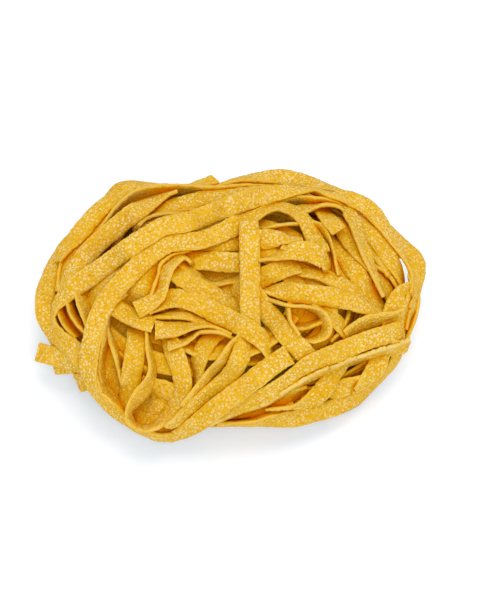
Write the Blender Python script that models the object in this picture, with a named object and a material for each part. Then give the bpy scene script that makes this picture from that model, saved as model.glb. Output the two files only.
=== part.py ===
"""Dry pasta nest: flat egg-pasta ribbons wound into one heap that stands on its flattened underside.

The heap is one solid. A core gives it body, and the largest ribbons are fused on at true size.
Ribbons on the shown side follow routes laid over a mound along one line of sight; the ribbons of
the far side are wound round the mound by formula.
"""
import math
import random

import bmesh
import bpy
from mathutils import Matrix, Vector

# Driving dimensions, in metres
RIBBON_WIDTH = 0.0050
RIBBON_THICKNESS = 0.0011
NEST_LENGTH = 0.0974
NEST_BREADTH = 0.0730
NEST_HEIGHT = 0.0340
NEST_TURN = math.radians(6)
WIDEST_LEVEL = 0.0135
DISH_DEPTH = 0.0042
DISH_RADIUS = 0.0240
CORE_INSET = 0.0042
LAYER_PITCH = 0.0010
LOWEST_MIDDLE = RIBBON_WIDTH * 0.55

# Line of sight along which the shown ribbons are laid out
SIGHT_ELEVATION = math.radians(60)
SIGHT_DISTANCE = 0.900
STEP_SIZE = 0.00025
CENTRE_U, CENTRE_V = 229.0, 302.5
FACE_ON = 20.0
EDGE_ON = 4.0

# Fineness of the faceted solid
SECTION_SPACING = 0.0060
FEWEST_SECTIONS, MOST_SECTIONS = 5, 36
SPLINE_STEPS = 12
CORE_SEGMENTS = 28
CORE_RINGS = 12

# Windings of the far side, of which the lowest go all the way round
WINDING_SEED = 7
LOW_WINDINGS, REAR_WINDINGS = 3, 7
LOW_SECTIONS, REAR_SECTIONS = 26, 16
LOW_START, LOW_END = math.radians(-60), math.radians(292)
REAR_START, REAR_END = math.radians(-36), math.radians(214)
LOW_LATITUDES = (math.radians(-27), math.radians(-12))
REAR_LATITUDES = (math.radians(-8), math.radians(56))
WAVE_LEAST, WAVE_MOST = math.radians(5), math.radians(12)
WAVE_RATE = 1.6
END_VARIATION = 0.4
LEAST_SUNK, MOST_SUNK = RIBBON_THICKNESS * 0.6, RIBBON_THICKNESS * 1.6
LOW_SUNK_MORE, REAR_SUNK_MORE = RIBBON_THICKNESS, 0.0

# Colour of dry egg pasta
PASTA_COLOUR = (0.80, 0.47, 0.075, 1.0)
PASTA_ROUGHNESS = 0.62

# Routes of the ribbons on the shown side, from the lowest layer up: name, layers below the mound's
# skin, and the points that each passes. A point is across, down and shown width, in steps of
# STEP_SIZE on a plane that faces the line of sight. A shown width of 20 is face on and 4 is edge on.
ROUTES = (
    ("far_right", 1, ((394, 231, 8), (411, 252, 18), (418, 268, 19), (419, 287, 9), (416, 298, 8),
                      (408, 320, 8))),
    ("low_right", 1, ((408, 300, 8), (402, 320, 10), (401, 338, 8), (392, 364, 9), (366, 388, 6),
                      (345, 397, 4))),
    ("left_rim", 1, ((74, 236, 6), (58, 256, 12), (47, 285, 18), (46, 315, 20), (58, 342, 12),
                     (74, 367, 10), (88, 377, 10))),
    ("left_stub_upper", 0, ((38, 352, 20), (50, 355, 20), (63, 361, 18), (78, 370, 14))),
    ("left_stub_lower", 1, ((54, 368, 16), (66, 370, 14), (82, 374, 10), (98, 380, 12))),
    ("top_rim", 1, ((200, 184, 5), (225, 181, 7), (262, 177, 13), (298, 179, 14), (330, 188, 8),
                    (345, 194, 6))),
    ("outer_back", 1, ((58, 262, 8), (80, 233, 18), (105, 205, 16), (130, 189, 13), (165, 188, 9),
                       (205, 188, 9), (240, 186, 7))),
    ("inner_back", 1, ((68, 276, 12), (93, 248, 22), (120, 224, 24), (147, 205, 12), (172, 202, 9),
                       (203, 198, 9), (238, 191, 7), (262, 188, 5))),
    ("front_rim", 1, ((378, 381, 8), (352, 400, 15), (316, 413, 17), (276, 419, 14), (240, 423, 8),
                      (214, 424, 5))),
    ("elbow", 3, ((352, 346, 12), (334, 372, 18), (316, 397, 18), (290, 407, 8), (262, 411, 6))),
    ("right_upright", 3, ((352, 386, 16), (368, 378, 17), (379, 358, 20), (384, 340, 18))),
    ("fan_outer", 1, ((362, 218, 12), (380, 244, 18), (396, 271, 12), (404, 292, 8))),
    ("fan_middle", 3, ((336, 246, 10), (343, 258, 16), (360, 282, 18), (380, 306, 12))),
    ("fan_inner", 3, ((303, 272, 12), (335, 281, 16), (365, 300, 14), (384, 314, 10))),
    ("leaf_arch", 2, ((300, 211, 12), (325, 205, 7), (347, 211, 12), (357, 231, 13), (365, 255, 9),
                      (376, 280, 6))),
    ("leaf_diamond", 1, ((331, 211, 14), (335, 222, 17), (339, 234, 17))),
    ("left_upright", 3, ((137, 333, 20), (134, 358, 21), (130, 386, 20), (126, 412, 12))),
    ("left_inner_edge", 3, ((121, 300, 6), (106, 330, 6), (100, 370, 6), (108, 392, 12),
                            (126, 406, 12))),
    ("left_bar", 3, ((190, 260, 18), (222, 262, 20), (242, 263, 20))),
    ("leaf_right", 3, ((254, 240, 20), (280, 238, 15), (298, 240, 6))),
    ("right_bar", 2, ((262, 278, 20), (288, 268, 18), (312, 264, 14), (322, 270, 8))),
    ("wedge", 2, ((262, 291, 8), (290, 292, 20), (330, 297, 20), (368, 308, 14), (384, 316, 8))),
    ("ring", 2, ((275, 302, 6), (304, 307, 6), (322, 316, 10), (324, 332, 12), (304, 340, 6))),
    ("right_cross", 1, ((411, 288, 12), (397, 303, 20), (390, 322, 15))),
    ("ledge", 2, ((392, 316, 8), (368, 323, 16), (344, 336, 12))),
    ("slab", 2, ((256, 298, 20), (280, 327, 21), (306, 355, 21))),
    ("second_diagonal", 2, ((180, 277, 18), (205, 291, 18), (243, 313, 14))),
    ("left_stub", 2, ((117, 309, 18), (140, 320, 18), (164, 328, 17), (198, 326, 8), (230, 334, 6))),
    ("low_left_leaf", 2, ((152, 386, 16), (178, 394, 18), (192, 400, 12))),
    ("curl", 2, ((173, 351, 19), (181, 377, 17), (179, 399, 14), (153, 425, 9), (127, 414, 8),
                 (131, 397, 7), (152, 372, 9), (149, 342, 8))),
    ("sweep_upper", 0, ((411, 290, 6), (404, 257, 7), (382, 224, 14), (347, 198, 15), (318, 191, 7),
                        (280, 192, 16), (225, 208, 20), (165, 226, 19), (110, 262, 21),
                        (75, 287, 20), (56, 307, 10), (53, 320, 7), (60, 339, 14), (80, 352, 20),
                        (94, 380, 12))),
    ("sweep_inner", 0, ((314, 240, 10), (303, 221, 13), (283, 208, 11), (262, 210, 13),
                        (225, 231, 19), (172, 243, 18), (130, 274, 21), (104, 306, 22),
                        (93, 338, 20), (91, 370, 18), (100, 396, 10), (120, 415, 14), (145, 431, 8),
                        (172, 435, 12), (200, 420, 19), (235, 393, 20), (289, 354, 20))),
    ("side_arm", 1, ((245, 342, 18), (222, 384, 19), (192, 408, 15), (168, 427, 8))),
    ("hook", 0, ((136, 309, 19), (156, 300, 15), (164, 279, 13), (175, 261, 10), (189, 261, 7),
                 (203, 279, 7))),
    ("bar", 0, ((249, 222, 20), (250, 270, 20), (250, 318, 20))),
    ("diagonal", 0, ((163, 300, 18), (195, 303, 19), (236, 323, 20), (267, 347, 14), (271, 358, 8))),
    ("torn_strand", 1, ((405, 346, 14), (365, 357, 8), (320, 373, 7), (268, 404, 7), (225, 418, 6))),
    ("long_strand", 0, ((399, 331, 18), (355, 345, 19), (310, 363, 17), (278, 389, 13),
                        (246, 403, 11), (222, 414, 6))),
)

CENTRE = Vector((0.0, 0.0, WIDEST_LEVEL))
SEMI_AXES = Vector((NEST_LENGTH / 2, NEST_BREADTH / 2, NEST_HEIGHT - WIDEST_LEVEL))
TURN = Matrix.Rotation(NEST_TURN, 3, "Z")
SIGHT = Vector((0.0, -math.cos(SIGHT_ELEVATION), math.sin(SIGHT_ELEVATION)))
SIGHT_UP = Vector((0.0, math.sin(SIGHT_ELEVATION), math.cos(SIGHT_ELEVATION)))
EYE = CENTRE + SIGHT * SIGHT_DISTANCE


def clear_scene():
    for obj in list(bpy.data.objects):
        bpy.data.objects.remove(obj, do_unlink=True)


def pasta_material():
    material = bpy.data.materials.new("dry_egg_pasta")
    material.use_nodes = True
    shader = material.node_tree.nodes["Principled BSDF"]
    shader.inputs["Base Color"].default_value = PASTA_COLOUR
    shader.inputs["Roughness"].default_value = PASTA_ROUGHNESS
    shader.inputs["Metallic"].default_value = 0.0
    return material


def spline(points, count):
    """Reads count values, evenly spaced by length across the plane, from a curve through points."""
    ends = [2 * points[0] - points[1]] + points + [2 * points[-1] - points[-2]]
    dense = []
    for a, b, c, d in zip(ends, ends[1:], ends[2:], ends[3:]):
        for step in range(SPLINE_STEPS):
            t = step / SPLINE_STEPS
            dense.append(0.5 * (2 * b + (c - a) * t + (2 * a - 5 * b + 4 * c - d) * t * t
                                + (3 * b - a - 3 * c + d) * t ** 3))
    dense.append(points[-1])
    run = [0.0]
    for a, b in zip(dense, dense[1:]):
        run.append(run[-1] + (b.xy - a.xy).length)
    found, at = [], 0
    for step in range(count):
        want = run[-1] * step / (count - 1)
        while at < len(run) - 2 and run[at + 1] < want:
            at += 1
        share = (want - run[at]) / max(run[at + 1] - run[at], 1e-9)
        found.append(dense[at].lerp(dense[at + 1], min(share, 1.0)))
    return found


def on_mound(across, down, sunk):
    """The point of the mound's skin, less what the ribbon is sunk, behind one point of the plane."""
    flat = (CENTRE + Vector((1, 0, 0)) * (across - CENTRE_U) * STEP_SIZE
            + SIGHT_UP * (CENTRE_V - down) * STEP_SIZE)
    toward = (EYE - flat).normalized()
    scaled_start = Vector(s / r for s, r in zip(TURN.transposed() @ (flat - CENTRE), SEMI_AXES))
    scaled_toward = Vector(s / r for s, r in zip(TURN.transposed() @ toward, SEMI_AXES))
    a = scaled_toward.length_squared
    b = scaled_start.dot(scaled_toward)
    c = scaled_start.length_squared - 1
    reach = (-b + math.sqrt(max(b * b - a * c, 0.0))) / a
    point = flat + toward * reach
    radius = math.hypot(point.x, point.y)
    dish = DISH_DEPTH * math.exp(-(radius / DISH_RADIUS) ** 2)
    point -= toward * (sunk + dish)
    point.z = max(point.z, LOWEST_MIDDLE)
    return point


def mound_normal(point):
    offset = TURN.transposed() @ (point - CENTRE)
    return TURN @ Vector(o / r ** 2 for o, r in zip(offset, SEMI_AXES)).normalized()


def ribbon_solid(name, points, normals):
    """A closed strip of rectangular section, with its broad faces square to the normals."""
    mesh = bmesh.new()
    rings = []
    for index, (point, normal) in enumerate(zip(points, normals)):
        before, after = points[max(index - 1, 0)], points[min(index + 1, len(points) - 1)]
        along = (after - before).normalized()
        across = along.cross(normal).normalized() * RIBBON_WIDTH / 2
        up = across.cross(along).normalized() * RIBBON_THICKNESS / 2
        corners = (across + up, up - across, -across - up, across - up)
        rings.append([mesh.verts.new(point + corner) for corner in corners])
    for ring, following in zip(rings, rings[1:]):
        for side in range(4):
            other = (side + 1) % 4
            mesh.faces.new((ring[side], ring[other], following[other], following[side]))
    mesh.faces.new(rings[0])
    mesh.faces.new(rings[-1])
    bmesh.ops.recalc_face_normals(mesh, faces=mesh.faces)
    bmesh.ops.triangulate(mesh, faces=mesh.faces)
    data = bpy.data.meshes.new(name)
    mesh.to_mesh(data)
    mesh.free()
    return bpy.data.objects.new(name, data)


def shown_ribbon(name, layer, route):
    """A ribbon laid over the mound, rolled about its own length until its shown width is right."""
    length = sum((Vector(b[:2]) - Vector(a[:2])).length for a, b in zip(route, route[1:]))
    count = round(length * STEP_SIZE / SECTION_SPACING) + 1
    count = min(max(count, FEWEST_SECTIONS), MOST_SECTIONS)
    stations = spline([Vector(point) for point in route], count)
    points = [on_mound(s.x, s.y, layer * LAYER_PITCH + RIBBON_THICKNESS / 2) for s in stations]
    sides = {}
    for sign in (1, -1):
        normals = []
        for index, (station, point) in enumerate(zip(stations, points)):
            before, after = points[max(index - 1, 0)], points[min(index + 1, count - 1)]
            along = (after - before).normalized()
            toward = EYE - point
            facing = (toward - along * toward.dot(along)).normalized()
            shown = min(max((station.z - EDGE_ON) / (FACE_ON - EDGE_ON), 0.0), 1.0)
            roll = sign * math.acos(shown)
            normals.append(facing * math.cos(roll) + along.cross(facing) * math.sin(roll))
        fit = sum(normal.dot(mound_normal(point)) for normal, point in zip(normals, points))
        sides[fit] = normals
    return ribbon_solid(name, points, sides[max(sides)])


def winding(name, share, span, latitudes, sections, sunk_more, draw):
    """One winding round the heap, flat against the mound, at its own slowly waving height."""
    lowest, highest = latitudes
    middle = lowest + (highest - lowest) * share
    wave = draw.uniform(WAVE_LEAST, WAVE_MOST)
    phase = draw.uniform(0, math.tau)
    start = span[0] + draw.uniform(0, END_VARIATION)
    end = span[1] - draw.uniform(0, END_VARIATION)
    sunk = draw.uniform(LEAST_SUNK, MOST_SUNK) + sunk_more
    points, normals = [], []
    for section in range(sections):
        turn = start + (end - start) * section / (sections - 1)
        rise = middle + wave * math.sin(WAVE_RATE * turn + phase)
        rise = min(max(rise, lowest), highest)
        point = CENTRE + TURN @ Vector((SEMI_AXES.x * math.cos(turn) * math.cos(rise),
                                        SEMI_AXES.y * math.sin(turn) * math.cos(rise),
                                        SEMI_AXES.z * math.sin(rise)))
        normal = mound_normal(point)
        points.append(point - normal * sunk)
        normals.append(normal)
    return ribbon_solid(name, points, normals)


def windings():
    """The low windings that go all round, and above them those of the far side alone."""
    draw = random.Random(WINDING_SEED)
    groups = (
        ("low", LOW_WINDINGS, (LOW_START, LOW_END), LOW_LATITUDES, LOW_SECTIONS, LOW_SUNK_MORE),
        ("rear", REAR_WINDINGS, (REAR_START, REAR_END), REAR_LATITUDES, REAR_SECTIONS, REAR_SUNK_MORE),
    )
    for group, count, span, latitudes, sections, sunk_more in groups:
        for number in range(count):
            share = (number + 0.5) / count
            yield winding(f"{group}_{number}", share, span, latitudes, sections, sunk_more, draw)


def core_solid():
    """The mound itself, a little smaller all round, dished on top and cut flat underneath."""
    mesh = bmesh.new()
    bmesh.ops.create_uvsphere(mesh, u_segments=CORE_SEGMENTS, v_segments=CORE_RINGS, radius=1.0)
    for vert in mesh.verts:
        vert.co = Vector(c * (r - CORE_INSET) for c, r in zip(vert.co, SEMI_AXES))
        radius = math.hypot(vert.co.x, vert.co.y)
        if vert.co.z > 0:
            vert.co.z -= DISH_DEPTH * math.exp(-(radius / DISH_RADIUS) ** 2)
        vert.co = CENTRE + TURN @ vert.co
    cut = bmesh.ops.bisect_plane(mesh, geom=mesh.verts[:] + mesh.edges[:] + mesh.faces[:],
                                 plane_co=(0, 0, 0), plane_no=(0, 0, -1), clear_outer=True)
    rim = [edge for edge in cut["geom_cut"] if isinstance(edge, bmesh.types.BMEdge)]
    bmesh.ops.contextual_create(mesh, geom=rim)
    bmesh.ops.recalc_face_normals(mesh, faces=mesh.faces)
    bmesh.ops.triangulate(mesh, faces=mesh.faces)
    data = bpy.data.meshes.new("pasta_nest")
    mesh.to_mesh(data)
    mesh.free()
    return bpy.data.objects.new("pasta_nest", data)


def fuse(core, strands):
    """Joins all strands to the core in one union, then removes them."""
    union = core.modifiers.new("ribbons", "BOOLEAN")
    union.operation = "UNION"
    union.operand_type = "COLLECTION"
    union.collection = strands
    union.solver = "MANIFOLD"
    evaluated = core.evaluated_get(bpy.context.evaluated_depsgraph_get())
    fused = bpy.data.meshes.new_from_object(evaluated)
    core.modifiers.clear()
    core.data = fused
    for obj in list(strands.objects):
        bpy.data.objects.remove(obj, do_unlink=True)
    bpy.data.collections.remove(strands)


def keep_outer_skin(obj):
    """Keeps the one outer skin: loose scraps and the walls of sealed hollows go."""
    mesh = bmesh.new()
    mesh.from_mesh(obj.data)
    left = set(mesh.verts)
    shells = []
    while left:
        stack = [left.pop()]
        shell = set(stack)
        while stack:
            for edge in stack.pop().link_edges:
                for vert in edge.verts:
                    if vert in left:
                        left.remove(vert)
                        shell.add(vert)
                        stack.append(vert)
        shells.append(shell)
    largest = max(shells, key=len)
    loose = [vert for vert in mesh.verts if vert not in largest]
    bmesh.ops.delete(mesh, geom=loose, context="VERTS")
    bmesh.ops.triangulate(mesh, faces=mesh.faces)
    mesh.to_mesh(obj.data)
    mesh.free()


def build():
    clear_scene()
    nest = bpy.data.collections.new("dry_pasta_nest")
    strands = bpy.data.collections.new("ribbons_to_fuse")
    bpy.context.scene.collection.children.link(nest)
    bpy.context.scene.collection.children.link(strands)

    core = core_solid()
    nest.objects.link(core)
    for name, layer, route in ROUTES:
        strands.objects.link(shown_ribbon(name, layer, route))
    for ribbon in windings():
        strands.objects.link(ribbon)
    fuse(core, strands)
    keep_outer_skin(core)
    core.data.materials.clear()
    core.data.materials.append(pasta_material())


build()
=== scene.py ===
"""The look of a dry egg-pasta nest: real ribbons at true size over a small core of their own.

The ribbons that the photograph shows are laid one after another, from the lowest to the topmost,
along routes on a plane that faces the line of sight. Each one rests on those below it, at a depth
given by a mound. The far side, the inside and the underside are wound by formula.
"""
import math
import random

import bmesh
import bpy
import numpy as np
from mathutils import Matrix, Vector


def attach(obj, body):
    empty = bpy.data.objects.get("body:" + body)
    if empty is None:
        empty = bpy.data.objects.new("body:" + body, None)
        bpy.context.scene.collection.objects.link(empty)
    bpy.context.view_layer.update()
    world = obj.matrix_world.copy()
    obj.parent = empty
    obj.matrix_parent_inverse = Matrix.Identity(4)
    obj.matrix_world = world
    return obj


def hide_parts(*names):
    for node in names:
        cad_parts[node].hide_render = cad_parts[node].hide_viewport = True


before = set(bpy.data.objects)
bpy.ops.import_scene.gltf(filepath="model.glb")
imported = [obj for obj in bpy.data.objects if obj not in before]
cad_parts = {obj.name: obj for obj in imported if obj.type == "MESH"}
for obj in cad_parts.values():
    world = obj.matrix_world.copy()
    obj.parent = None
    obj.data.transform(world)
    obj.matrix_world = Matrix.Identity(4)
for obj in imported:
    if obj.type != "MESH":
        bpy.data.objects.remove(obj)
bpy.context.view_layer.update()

# Driving dimensions, in metres
RIBBON_WIDTH = 0.0050
RIBBON_THICKNESS = 0.0010
NEST_LENGTH = 0.0970
NEST_BREADTH = 0.0726
NEST_HEIGHT = 0.0338
NEST_TURN = math.radians(6)
WIDEST_LEVEL = 0.0135
DISH_DEPTH = 0.0030
DISH_RADIUS = 0.0240
CORE_INSET = 0.0100
CORE_FLOOR = 0.0030
CORE_FINENESS = 5

# Line of sight; a step is one pixel of the photograph
SIGHT_ELEVATION = math.radians(60)
SIGHT_DISTANCE = 0.900
STEP_SIZE = 0.00025
PHOTO_WIDTH, PHOTO_HEIGHT = 480, 609
CENTRE_U, CENTRE_V = 229.0, 302.5
SENSOR_SIZE = 36.0
FACE_ON, EDGE_ON = 20.0, 4.0

# How finely routes are sampled, in steps or counts
LEG_SPACING = 1.0
SPLINE_STEPS = 24
FEWEST_SECTIONS = 4
NEAR_CELLS, ALL_CELLS = 11, 33
FIELD_FINENESS, FIELD_COLUMNS = 6, 9
REACH_BLUR, ROLL_BLUR, SUNK_BLUR = 4, 3, 10
FAR_AWAY = 1.0

# How ribbons rest on each other
CLEARANCE = 0.00008
EDGE_NESTING = 0.40
EDGE_SINKING = 0.8
BEND_STEPS = 10
SETTLING_ROUNDS = 30
SETTLING_SHARE = 0.5
SKIN_PULL = 0.03
JOIN_STEPS = 24
STEEPEST = 0.8
MEETING_GAP = 1.5
LUMP_HEIGHT = 0.0005
LUMP_ACROSS, LUMP_SWAY, LUMP_DOWN = 17, 23, 14
LUMP_BEND, LUMP_SHIFT = 1.3, 0.7
UNEVEN_DEPTH = 0.0009
PILE_DROP = 0.0045

# Fineness and roughness of the ribbons
FINE_SPACING, COARSE_SPACING = 0.0005, 0.0009
COLUMN_SHARES = np.array((-1.0, -0.84, -0.45, 0.0, 0.45, 0.84, 1.0))
COLUMNS = len(COLUMN_SHARES)
AT_EDGE = 0.99
EDGE_ROUNDING = 0.34
SHARP_ANGLE = math.radians(50)
FACE_RELIEF = 0.000045
RELIEF_SMOOTHING = 2.6
EDGE_RELIEF = 0.00006
TORN_RELIEF = 0.00030
TORN_FROM = 0.8
WIDTH_VARIATION, WIDTH_SWING, WIDTH_BLUR = 0.022, 2.5, 12
CUPPING, CUPPING_SWING, CUPPING_BLUR = 0.00012, 4, 30
CUPPING_LEVEL = 0.4

SEED = 11
ANY_PHASE = 6

# Openings seen right through the heap: across, down, half width and half height in steps
OPENINGS = ((405.5, 271, 3.5, 11),)
OPENING_MARGIN = 6
SHORTEST_PART = 12

# Windings round the heap: shells from the skin inwards, the latitudes that they cover, where they
# start and end, and how they wave. The low ones go all the way round, and the others the far side.
SHELLS, SKIN_WINDINGS = 4, 10
LOWEST_LATITUDE, HIGHEST_LATITUDE = math.radians(-36), math.radians(66)
SHELL_STAGGER = 0.25
FULL_BELOW = 0.0
FULL_START, FULL_END = math.radians(-75), math.radians(285)
REAR_START, REAR_END = math.radians(-60), math.radians(240)
END_VARIATION = 0.3
WINDING_SAMPLES = 220
WAVE_DEGREES = (4.0, 9.0)
WAVE_RATE, SHELL_PHASE, PHASE_VARIATION = 1.7, 1.9, 0.5
RIPPLE, RIPPLE_RATE = math.radians(3), 3.1
TILT_DEGREES, TWIST_DEGREES, TWIST_RATE = 10, 14, 1.3

# How deep windings lie, in thicknesses, and how much deeper they dive where the shown ribbons lie
LEAST_SUNK, SHELL_PITCH, SUNK_VARIATION = 0.6, 1.2, 1.4
SHOWN_SUNK, SHOWN_BLUR, SHOWN_POWER = 0.0090, 10, 1.7
SHOWN_FROM, SHOWN_RANGE = 0.45, 0.75

# Places where the wound ribbons lie deeper: angle round the heap, spread and extra depth
HOLLOWS = ((3.60, 0.30, 0.0030), (1.57, 0.22, 0.0013))

# Loops on the table: size as a share of the heap, level in thicknesses
BASE_LOOPS, BASE_SAMPLES = 9, 200
BASE_SIZE, BASE_GROWTH = 0.28, 0.050
BASE_LEVEL, BASE_PITCH = 0.85, 1.1
BASE_SPAN = (5.0, 6.0)
BASE_WOBBLE, BASE_RIPPLE = 0.05, 0.03
BASE_SHIFT = 0.002

# Loose arcs inside, in steps where not said otherwise
INNER_ARCS, INNER_POINTS = 34, 7
INNER_SIZE = (0.25, 0.80)
INNER_SPAN = (1.2, 2.6)
INNER_OFF_ACROSS, INNER_OFF_DOWN = 40, 25
INNER_HALF_ACROSS, INNER_HALF_DOWN = 170, 112
INNER_WIDTHS = (6, 10, 14, 18, 20)
INNER_WIDTH_VARIATION = 2
INNER_EXTRA = 1.5

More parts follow.
